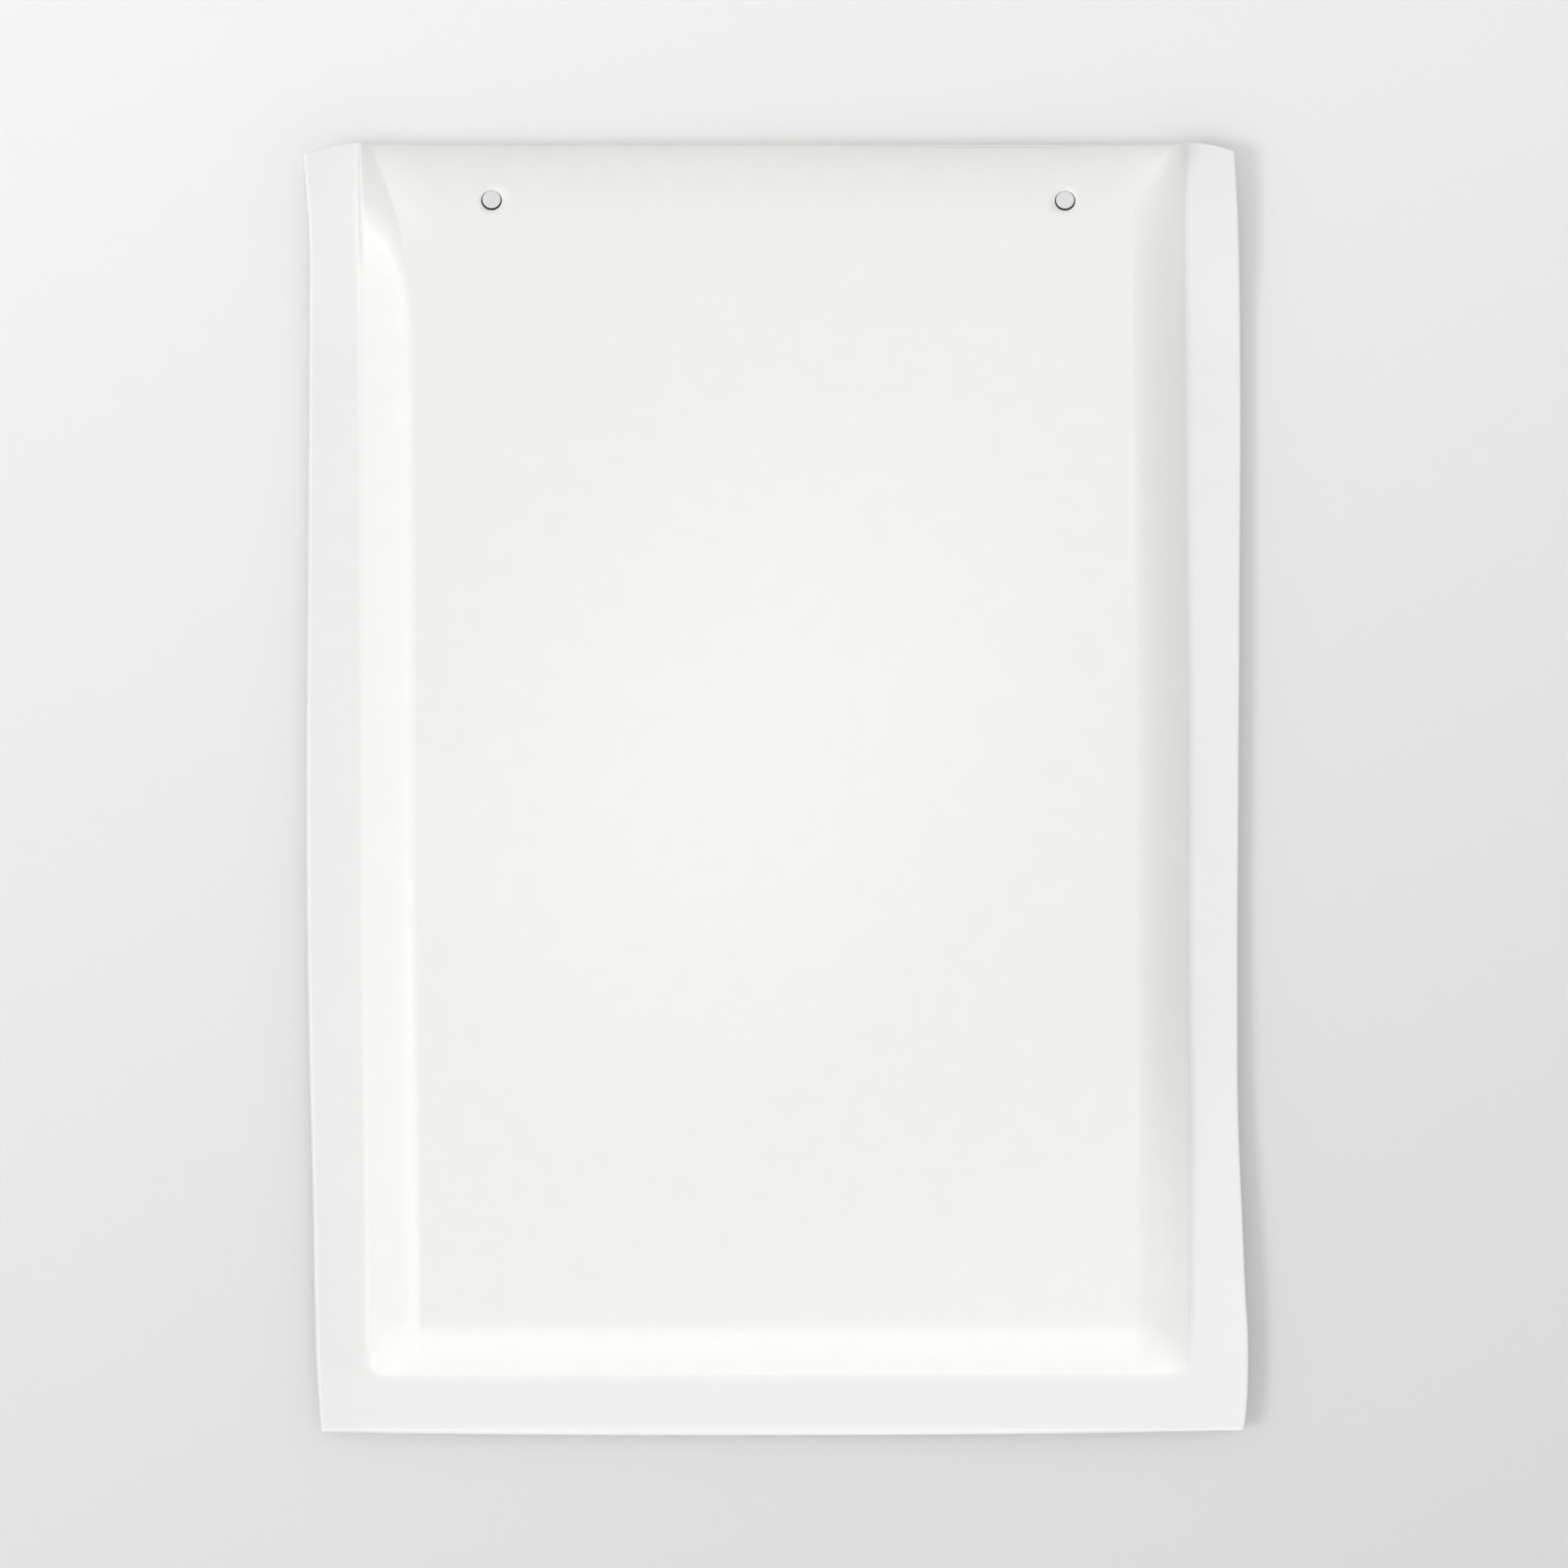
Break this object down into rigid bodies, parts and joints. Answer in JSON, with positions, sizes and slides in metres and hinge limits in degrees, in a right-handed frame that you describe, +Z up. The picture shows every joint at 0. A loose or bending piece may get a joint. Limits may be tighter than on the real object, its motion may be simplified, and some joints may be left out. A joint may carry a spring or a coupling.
{
  "type": "padded bubble mailer",
  "caption": "White padded envelope lined with bubble film, with heat-sealed flanges, a flap folded shut behind it, a peel-off adhesive strip and two small holes punched in the front sheet.",
  "frame": {"origin": "on the ground under the middle of the envelope, which lies on its back with the address face up", "axes": "+Z up out of the address face, +Y towards the folded top edge, +X to the right seen from above"},
  "size_m": [0.2014, 0.2759, 0.0121],
  "materials": {
    "white_paper": "matte",
    "bubble_film": "gloss",
    "backing_film": "gloss",
    "seal_film": "satin",
    "hot_melt": "gloss",
    "release_paper": "satin"
  },
  "bodies": {
    "envelope": {"front_panel": "white_paper", "back_panel": "white_paper", "front_bubble_web": "bubble_film", "front_backing_film": "backing_film", "back_backing_film": "backing_film", "back_bubble_web": "bubble_film", "left_side_seal": "seal_film", "right_side_seal": "seal_film", "bottom_seal": "seal_film"},
    "flap": {"closing_flap": "white_paper", "adhesive_strip": "hot_melt"},
    "release_liner": {"release_strip": "release_paper"}
  },
  "joints": [
    {"name": "flap_fold", "type": "hinge", "parent": "envelope", "child": "flap", "pos_m": [0, 0.1376, 0.00619], "axis": [1, 0, 0], "range_deg": [0, 180]},
    {"name": "release_strip_peel", "type": "slide", "parent": "flap", "child": "release_liner", "axis": [1, 0, 0], "range_m": [0, 0.16]}
  ]
}
